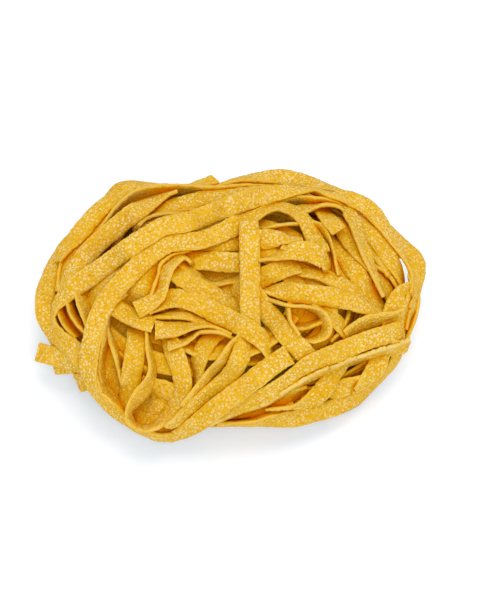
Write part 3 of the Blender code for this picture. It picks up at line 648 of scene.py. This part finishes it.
def winding_paths(draw):
    """Turns round the mound in shells, each shell a little deeper; shown parts dive inside."""
    low, high = LOWEST_LATITUDE, HIGHEST_LATITUDE
    for shell in range(SHELLS):
        count = SKIN_WINDINGS - shell
        for number in range(count):
            middle = low + (high - low) * (number + 0.5 + SHELL_STAGGER * (shell % 2)) / count
            full = middle < FULL_BELOW
            start = FULL_START if full else REAR_START
            end = FULL_END if full else REAR_END
            start += draw.uniform(-END_VARIATION, END_VARIATION)
            end += draw.uniform(-END_VARIATION, END_VARIATION)
            turns = np.linspace(start, end, WINDING_SAMPLES)
            wave = math.radians(draw.uniform(*WAVE_DEGREES))
            phase = shell * SHELL_PHASE + draw.uniform(-PHASE_VARIATION, PHASE_VARIATION)
            ripple = RIPPLE * np.sin(RIPPLE_RATE * turns + draw.uniform(0, ANY_PHASE))
            rise = middle + wave * np.sin(WAVE_RATE * turns + phase) + ripple
            rise = np.clip(rise, low, high)
            direction = np.stack((np.cos(turns) * np.cos(rise), np.sin(turns) * np.cos(rise),
                                  np.sin(rise)), axis=1)
            skin = CENTRE + (direction * SEMI_AXES) @ TURN.T
            normal = skin_normal(skin)
            shown = np.clip((normal @ SIGHT + SHOWN_FROM) / SHOWN_RANGE, 0, 1)
            layers = LEAST_SUNK + SHELL_PITCH * shell + draw.uniform(0, SUNK_VARIATION)
            sunk = RIBBON_THICKNESS * layers + SHOWN_SUNK * blur(shown, SHOWN_BLUR) ** SHOWN_POWER
            for angle, spread, depth in HOLLOWS:
                sunk += depth * np.exp(-((turns - angle) / spread) ** 2)
            lean = draw.uniform(-TILT_DEGREES, TILT_DEGREES)
            twist = TWIST_DEGREES * np.sin(turns * TWIST_RATE + draw.uniform(0, ANY_PHASE))
            tilt = np.radians(lean + twist)
            along = unit(np.gradient(skin, axis=0))
            leaning = (normal * np.cos(tilt)[:, None]
                       + np.cross(along, normal) * np.sin(tilt)[:, None])
            points = skin - normal * sunk[:, None]
            points[:, 2] = np.maximum(points[:, 2], lowest_middle(leaning))
            yield f"wound_{shell}_{number}", points, leaning


def base_paths(draw):
    """Loops that lie flat on the table under the heap."""
    for number in range(BASE_LOOPS):
        size = BASE_SIZE + BASE_GROWTH * number
        level = RIBBON_THICKNESS * (BASE_LEVEL + BASE_PITCH * (number % 2))
        start = draw.uniform(0, math.tau)
        turns = np.linspace(start, start + draw.uniform(*BASE_SPAN), BASE_SAMPLES)
        wobble = (1 + BASE_WOBBLE * np.sin(2 * turns + draw.uniform(0, ANY_PHASE))
                  + BASE_RIPPLE * np.sin(3 * turns))
        shift = np.array((draw.uniform(-BASE_SHIFT, BASE_SHIFT),
                          draw.uniform(-BASE_SHIFT, BASE_SHIFT), 0.0))
        ring = np.stack((np.cos(turns) * wobble * size, np.sin(turns) * wobble * size,
                         np.zeros_like(turns)), axis=1)
        points = (ring * SEMI_AXES) @ TURN.T + shift
        points[:, 2] = level
        yield f"base_{number}", points, np.tile((0.0, 0.0, 1.0), (len(points), 1))


def inner_routes(draw):
    """Loose arcs deep inside the heap, which show only between the ribbons above them."""
    for number in range(INNER_ARCS):
        size = draw.uniform(*INNER_SIZE)
        start = draw.uniform(0, math.tau)
        span = draw.uniform(*INNER_SPAN)
        off_u = draw.uniform(-INNER_OFF_ACROSS, INNER_OFF_ACROSS)
        off_v = draw.uniform(-INNER_OFF_DOWN, INNER_OFF_DOWN)
        width = draw.choice(INNER_WIDTHS)
        points = []
        for step in range(INNER_POINTS):
            angle = start + span * step / (INNER_POINTS - 1)
            uneven = draw.uniform(-INNER_WIDTH_VARIATION, INNER_WIDTH_VARIATION)
            points.append((CENTRE_U + off_u + INNER_HALF_ACROSS * size * math.cos(angle),
                           CENTRE_V + off_v + INNER_HALF_DOWN * size * math.sin(angle),
                           width + uneven))
        yield (f"inner_{number}", "inner", INNER_EXTRA, 1, None, tuple(points))


def shown_ribbons(draw, wound):
    """Lays every shown and inner leg on the mound, and joins the legs that meet."""
    legs = [Leg(route) for route in inner_routes(draw)] + [Leg(route) for route in ROUTES]
    for leg in legs:
        sway = LUMP_BEND * np.sin(leg.down / LUMP_SWAY)
        lumps = (np.sin(leg.across / LUMP_ACROSS + sway)
                 * np.sin(leg.down / LUMP_DOWN + LUMP_SHIFT))
        sunk = (PILE_DROP + leg.extra * RIBBON_THICKNESS + draw.uniform(0, UNEVEN_DEPTH)
                + RIBBON_WIDTH / 2 * np.sin(leg.roll) * EDGE_SINKING)
        leg.reach = eased(leg.reach + LUMP_HEIGHT * lumps - blur(sunk, SUNK_BLUR))
    settle(legs, covered_field(wound, (ROWS, COLS)))
    laid = {leg.name: leg for leg in legs}
    for leg in legs:
        if leg.meets:
            leg.reach = join(leg, laid[leg.meets], leg.reach)
    met = {leg.meets for leg in legs}
    ribbons = []
    for leg in legs:
        if leg.name in met:
            continue
        chain, current = [leg], leg
        while current.meets:
            other = laid[current.meets]
            other.lean = leg.lean
            before = math.hypot(current.across[0] - other.across[-1],
                                current.down[0] - other.down[-1]) < MEETING_GAP
            chain = [other] + chain if before else chain + [other]
            current = other
        points, normals = leg_path(chain)
        spacing = COARSE_SPACING if leg.group == "inner" else FINE_SPACING
        ribbons.append(Ribbon(leg.name, leg.group, points, normals, spacing))
    return ribbons


def ribbon_mesh(ribbon, draw):
    """Vertices and faces of one ribbon with rough faces and edges, and where its rim and tears are."""
    points, normals = ribbon.points, ribbon.normals
    count = len(points)
    along = unit(np.gradient(points, axis=0))
    across = unit(np.cross(along, normals))
    normals = unit(np.cross(across, along))
    share = COLUMN_SHARES
    half, thick = RIBBON_WIDTH / 2, RIBBON_THICKNESS / 2
    body = np.where(np.abs(share) > AT_EDGE, EDGE_ROUNDING, 1.0)
    ring_x = np.concatenate((share, share[::-1]))
    ring_y = np.concatenate((body, -body[::-1]))
    is_edge = np.abs(ring_x) > AT_EDGE
    width = 1 + WIDTH_VARIATION * blur(draw.normal(size=count) * WIDTH_SWING, WIDTH_BLUR)
    cup = CUPPING * blur(draw.normal(size=count) * CUPPING_SWING, CUPPING_BLUR)
    rough = draw.normal(size=(count, 2 * COLUMNS)) * FACE_RELIEF
    rough[1:-1] = (rough[:-2] + 2 * rough[1:-1] + rough[2:]) / RELIEF_SMOOTHING
    edge = draw.normal(size=(count, 2)) * EDGE_RELIEF
    if ribbon.torn:
        edge = draw.normal(size=(count, 2)) * TORN_RELIEF
    edge_shift = np.where(ring_x > 0, edge[:, :1], edge[:, 1:]) * is_edge
    out = ring_x * half * width[:, None] + edge_shift * np.sign(ring_x)
    lift = ring_y * thick + rough + cup[:, None] * (ring_x ** 2 - CUPPING_LEVEL)
    verts = (points[:, None] + across[:, None] * out[..., None]
             + normals[:, None] * lift[..., None])
    ring = 2 * COLUMNS
    base = np.arange(count - 1)[:, None] * ring + np.arange(ring)
    step = np.arange(count - 1)[:, None] * ring + (np.arange(ring) + 1) % ring
    quads = np.stack((base, base + ring, step + ring, step), axis=-1).reshape(-1, 4)
    cap = np.stack((np.arange(COLUMNS - 1), np.arange(1, COLUMNS),
                    ring - 2 - np.arange(COLUMNS - 1), ring - 1 - np.arange(COLUMNS - 1)), axis=-1)
    last = (count - 1) * ring + cap[:, ::-1]
    rim = np.tile(is_edge.astype(float), count)
    torn = np.tile((np.abs(ring_x) > TORN_FROM) * float(ribbon.torn), count)
    return verts.reshape(-1, 3), np.vstack((quads, cap, last)), rim, torn


def build_piece(name, ribbons, material, draw):
    """One mesh object that holds all ribbons of a kind, marked with each one's tone, rim and tears."""
    verts, faces, tones, rims, torn, start = [], [], [], [], [], 0
    for ribbon in ribbons:
        some, quads, rim, ragged = ribbon_mesh(ribbon, draw)
        rims.append(rim)
        verts.append(some)
        faces.append(quads + start)
        tones.append(np.full(len(some), draw.uniform()))
        torn.append(ragged)
        start += len(some)
    verts, faces = np.vstack(verts), np.vstack(faces)
    mesh = bpy.data.meshes.new(name)
    mesh.vertices.add(len(verts))
    mesh.vertices.foreach_set("co", verts.ravel())
    mesh.loops.add(faces.size)
    mesh.loops.foreach_set("vertex_index", faces.ravel())
    mesh.polygons.add(len(faces))
    mesh.polygons.foreach_set("loop_start", np.arange(0, faces.size, 4))
    mesh.polygons.foreach_set("use_smooth", np.ones(len(faces), bool))
    mesh.update(calc_edges=True)
    mesh.validate()
    for label, values in (("tone", tones), ("rim", rims), ("torn", torn)):
        marks = mesh.attributes.new(label, "FLOAT", "POINT")
        marks.data.foreach_set("value", np.concatenate(values))
    mesh.set_sharp_from_angle(angle=SHARP_ANGLE)
    mesh.materials.append(material)
    piece = bpy.data.objects.new(name, mesh)
    bpy.context.scene.collection.objects.link(piece)
    return piece


def core_piece(material):
    """The heap's own core: the mound, well inside all ribbons, with a flat underside."""
    mesh = bmesh.new()
    bmesh.ops.create_icosphere(mesh, subdivisions=CORE_FINENESS, radius=1.0)
    for vert in mesh.verts:
        place = np.array(vert.co) * (SEMI_AXES - CORE_INSET)
        place = CENTRE + TURN @ place
        vert.co = (place[0], place[1], max(place[2], CORE_FLOOR))
    data = bpy.data.meshes.new("nest_core")
    mesh.to_mesh(data)
    mesh.free()
    data.materials.append(material)
    piece = bpy.data.objects.new("nest_core", data)
    bpy.context.scene.collection.objects.link(piece)
    return piece


# Materials

def srgb(red, green, blue):
    """A colour given as it looks on screen, from 0 to 255."""
    def linear(value):
        value /= 255
        return value / 12.92 if value <= 0.04045 else ((value + 0.055) / 1.055) ** 2.4
    return (linear(red), linear(green), linear(blue), 1.0)


# Colours
GOLD_DARK = srgb(226, 170, 8)
GOLD_LIGHT = srgb(231, 177, 20)
GOLD_PATCH = srgb(235, 184, 38)
GOLD_DEEP = srgb(213, 152, 8)
# Painted highlight: the pale colour laid along every ribbon's rim, as if its edges caught the light
RIM_HIGHLIGHT = srgb(242, 200, 92)
FLECK_PALE = srgb(250, 226, 160)
# Painted shade: a tint over the gold where ribbons crowd each other, and a deep orange in the crevices
# between them
SHADE_TINT = srgb(246, 243, 10)
CREVICE_SHADE_COLOUR = srgb(244, 144, 0)

# Flecks: spacing in metres, and size and spread of size as shares of the spacing; then how much
# each kind covers the gold
LARGE_FLECKS, SMALL_FLECKS = (0.00076, 0.56, 0.16), (0.00044, 0.52, 0.16)
LARGE_FLOUR, SMALL_FLOUR, TORN_FLOUR = 0.66, 0.36, 0.65
FLECK_SOFTNESS = 0.16
# How strongly the painted rim highlight covers the gold
RIM_HIGHLIGHT_SHARE = 0.8

# Patterns, as cells for each metre: tone patches, fine dark marks, bare places and grain
PATCH_SCALE, MARK_SCALE, BARE_SCALE, GRAIN_SCALE = 230.0, 1500.0, 70.0, 2600.0
GRAIN_ROUGHNESS = 0.65
PATCH_RANGE, MARK_RANGE, BARE_RANGE = (0.42, 0.70), (0.52, 0.70), (0.44, 0.62)
# The fleck loss counts both in bare places and under the painted crevice shade
BARE_SHARE, FLECK_LOSS_BARE_AND_SHADED = 0.5, 0.7

# Painted shade between ribbons: how far they crowd each other, and where the painted shade and the
# crevice shade begin and end
CROWDING_REACH, CROWDING_SAMPLES = 0.0045, 4
SHADE_RANGE, CREVICE_RANGE = (1.0, 0.50), (0.50, 0.14)
CREVICE_SHARE = 0.85

# Surface
FLECK_HEIGHT, BUMP_STRENGTH, BUMP_HEIGHT = 0.8, 0.7, 0.00022
PASTA_ROUGHNESS, PASTA_SHINE = 0.72, 0.05

# Floor: white, with a glow that makes up for the gold light that the heap throws on it
FLOOR_SIZE, FLOOR_DROP = 6.0, 0.0002
FLOOR_WHITE = (0.90, 0.80, 0.73, 1.0)
FLOOR_GLOW, FLOOR_GLOW_STRENGTH = (0.28, 0.67, 1.0, 1.0), 0.43
FLOOR_ROUGHNESS, FLOOR_SHINE = 0.9, 0.1

# Lights: name, place, size and power
AREA_LIGHTS = (("key", (0.06, 0.14, 1.08), 0.62, 3.1), ("fill", (0.10, -0.62, 0.95), 0.50, 2.7))
SKY_WHITE, SKY_STRENGTH = (1.0, 1.0, 1.0, 1.0), 0.72


def node(tree, kind, **values):
    made = tree.nodes.new(kind)
    for key, value in values.items():
        if hasattr(made, key):
            setattr(made, key, value)
        else:
            made.inputs[key].default_value = value
    return made


def ramp(tree, source, low, high):
    """A soft step from 0 to 1 between two values of the source."""
    made = node(tree, "ShaderNodeMapRange", interpolation_type="SMOOTHSTEP")
    made.inputs["From Min"].default_value = low
    made.inputs["From Max"].default_value = high
    tree.links.new(source, made.inputs["Value"])
    return made.outputs["Result"]


def mix(tree, share, first, second):
    made = node(tree, "ShaderNodeMix", data_type="RGBA")
    for socket, value in ((made.inputs[0], share), (made.inputs[6], first), (made.inputs[7], second)):
        if isinstance(value, (tuple, float)):
            socket.default_value = value
        else:
            tree.links.new(value, socket)
    return made.outputs[2]


def noise(tree, place, scale, detail, roughness=0.5):
    made = node(tree, "ShaderNodeTexNoise", Scale=scale, Detail=detail, Roughness=roughness)
    tree.links.new(place, made.inputs["Vector"])
    return made.outputs["Fac"]


def maths(tree, operation, *values):
    made = node(tree, "ShaderNodeMath", operation=operation)
    for socket, value in zip(made.inputs, values):
        if isinstance(value, float):
            socket.default_value = value
        else:
            tree.links.new(value, socket)
    return made.outputs[0]


def specks(tree, place, spacing, size, spread):
    """Round flecks of uneven size: 1 in a fleck and 0 between them."""
    cells = node(tree, "ShaderNodeTexVoronoi", Scale=1 / spacing, feature="F1")
    tree.links.new(place, cells.inputs["Vector"])
    chance = node(tree, "ShaderNodeSeparateColor")
    tree.links.new(cells.outputs["Color"], chance.inputs["Color"])
    shrunk = maths(tree, "MULTIPLY_ADD", chance.outputs["Red"], spread, cells.outputs["Distance"])
    return ramp(tree, shrunk, size, size - FLECK_SOFTNESS)


def tinted(tree, colour, tint):
    """The colour as seen through a tint."""
    made = node(tree, "ShaderNodeMix", data_type="RGBA", blend_type="MULTIPLY")
    made.inputs[0].default_value = 1.0
    tree.links.new(colour, made.inputs[6])
    made.inputs[7].default_value = tint
    return made.outputs[2]


def pasta_material():
    """Dry egg pasta: matt gold with pale floury flecks, rough all over; painted shade darkens it to deep
    orange where ribbons crowd, and its rims are painted paler as a highlight.
    """
    material = bpy.data.materials.new("dry_egg_pasta")
    material.use_nodes = True
    tree = material.node_tree
    shader = tree.nodes["Principled BSDF"]
    place = tree.nodes.new("ShaderNodeTexCoord").outputs["Object"]
    tone = node(tree, "ShaderNodeAttribute", attribute_name="tone").outputs["Fac"]
    rim = node(tree, "ShaderNodeAttribute", attribute_name="rim").outputs["Fac"]
    torn = node(tree, "ShaderNodeAttribute", attribute_name="torn").outputs["Fac"]

    patches = noise(tree, place, PATCH_SCALE, 3.0)
    grain = noise(tree, place, GRAIN_SCALE, 4.0, GRAIN_ROUGHNESS)
    large = specks(tree, place, *LARGE_FLECKS)
    small = specks(tree, place, *SMALL_FLECKS)

    # Painted shade from ambient occlusion: the gold is tinted darker where ribbons crowd and turns deep
    # orange in the crevices
    crowded = node(tree, "ShaderNodeAmbientOcclusion", Distance=CROWDING_REACH)
    crowded.samples = CROWDING_SAMPLES
    painted_shade = ramp(tree, crowded.outputs["AO"], *SHADE_RANGE)
    crevice_shade = ramp(tree, crowded.outputs["AO"], *CREVICE_RANGE)
    worn = ramp(tree, noise(tree, place, BARE_SCALE, 1.0), *BARE_RANGE)
    bare = maths(tree, "MULTIPLY", worn, BARE_SHARE)
    # Flecks thin out in bare places, and also under the painted crevice shade
    flecks_kept_bare_and_shaded = maths(tree, "MULTIPLY_ADD", maths(tree, "MAXIMUM", bare, crevice_shade), -FLECK_LOSS_BARE_AND_SHADED, 1.0)

    marks = noise(tree, place, MARK_SCALE, 2.0)
    gold = mix(tree, tone, GOLD_DARK, GOLD_LIGHT)
    gold = mix(tree, ramp(tree, patches, *PATCH_RANGE), gold, GOLD_PATCH)
    gold = mix(tree, ramp(tree, marks, *MARK_RANGE), gold, GOLD_DEEP)
    # Painted highlight: every ribbon's rim is painted paler
    gold = mix(tree, maths(tree, "MULTIPLY", rim, RIM_HIGHLIGHT_SHARE), gold, RIM_HIGHLIGHT)
    floury = maths(tree, "MAXIMUM", maths(tree, "MULTIPLY", large, LARGE_FLOUR),
                   maths(tree, "MULTIPLY", small, SMALL_FLOUR))
    covered = maths(tree, "MULTIPLY", floury, maths(tree, "SUBTRACT", 1.0, rim))
    covered = maths(tree, "MAXIMUM", covered, maths(tree, "MULTIPLY", torn, TORN_FLOUR))
    surface = mix(tree, maths(tree, "MULTIPLY", covered, flecks_kept_bare_and_shaded), gold, FLECK_PALE)
    # Painted shade: the tint where ribbons crowd, then the deep orange in the crevices
    surface = mix(tree, painted_shade, surface, tinted(tree, surface, SHADE_TINT))
    deep = maths(tree, "MULTIPLY", crevice_shade, CREVICE_SHARE)
    surface = mix(tree, deep, surface, CREVICE_SHADE_COLOUR)
    tree.links.new(surface, shader.inputs["Base Color"])

    relief = maths(tree, "MULTIPLY_ADD", floury, FLECK_HEIGHT, grain)
    bump = node(tree, "ShaderNodeBump", Strength=BUMP_STRENGTH, Distance=BUMP_HEIGHT)
    tree.links.new(relief, bump.inputs["Height"])
    tree.links.new(bump.outputs["Normal"], shader.inputs["Normal"])
    shader.inputs["Roughness"].default_value = PASTA_ROUGHNESS
    shader.inputs["Specular IOR Level"].default_value = PASTA_SHINE
    return material


def floor_material():
    material = bpy.data.materials.new("floor_white")
    material.use_nodes = True
    shader = material.node_tree.nodes["Principled BSDF"]
    shader.inputs["Base Color"].default_value = FLOOR_WHITE
    shader.inputs["Roughness"].default_value = FLOOR_ROUGHNESS
    shader.inputs["Emission Color"].default_value = FLOOR_GLOW
    shader.inputs["Emission Strength"].default_value = FLOOR_GLOW_STRENGTH
    shader.inputs["Specular IOR Level"].default_value = FLOOR_SHINE
    return material


# Setting

def floor():
    bpy.ops.mesh.primitive_plane_add(size=FLOOR_SIZE, location=(0, 0, -FLOOR_DROP))
    plane = bpy.context.object
    plane.name = "floor"
    plane.data.materials.append(floor_material())


def area_light(name, place, size, power):
    data = bpy.data.lights.new(name, "AREA")
    data.shape = "DISK"
    data.size = size
    data.energy = power
    lamp = bpy.data.objects.new(name, data)
    lamp.location = place
    lamp.rotation_euler = Vector(place).to_track_quat("Z", "Y").to_euler()
    bpy.context.scene.collection.objects.link(lamp)


def lights():
    world = bpy.data.worlds.new("studio")
    world.use_nodes = True
    sky = world.node_tree.nodes["Background"]
    sky.inputs["Color"].default_value = SKY_WHITE
    sky.inputs["Strength"].default_value = SKY_STRENGTH
    bpy.context.scene.world = world
    for light in AREA_LIGHTS:
        area_light(*light)
    view = bpy.context.scene.view_settings
    view.view_transform = "Standard"
    view.look = "None"
    view.exposure = 0.0


def camera():
    data = bpy.data.cameras.new("camera")
    data.sensor_fit = "AUTO"
    data.sensor_width = SENSOR_SIZE
    data.lens = SENSOR_SIZE * SIGHT_DISTANCE / (PHOTO_HEIGHT * STEP_SIZE)
    view = bpy.data.objects.new("camera", data)
    view.location = EYE
    view.rotation_euler = Vector(SIGHT).to_track_quat("Z", "Y").to_euler()
    bpy.context.scene.collection.objects.link(view)
    bpy.context.scene.camera = view


def main():
    camera()
    draw = random.Random(SEED)
    relief = np.random.default_rng(SEED)
    wound = list(winding_paths(draw))
    ribbons = shown_ribbons(draw, wound)
    for name, points, normals in wound:
        for part in clear_parts(points):
            ribbons.append(Ribbon(name, "wound", points[part], normals[part], COARSE_SPACING))
    for name, points, normals in base_paths(draw):
        ribbons.append(Ribbon(name, "base", points, normals, COARSE_SPACING))
    pasta = pasta_material()
    pieces = [core_piece(pasta)]
    for group in ("crown", "heart", "front", "inner", "wound", "base"):
        chosen = [ribbon for ribbon in ribbons if ribbon.group == group]
        pieces.append(build_piece(f"ribbons_{group}", chosen, pasta, relief))
    for piece in pieces:
        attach(piece, "root")
        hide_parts("pasta_nest")
    floor()
    lights()


main()
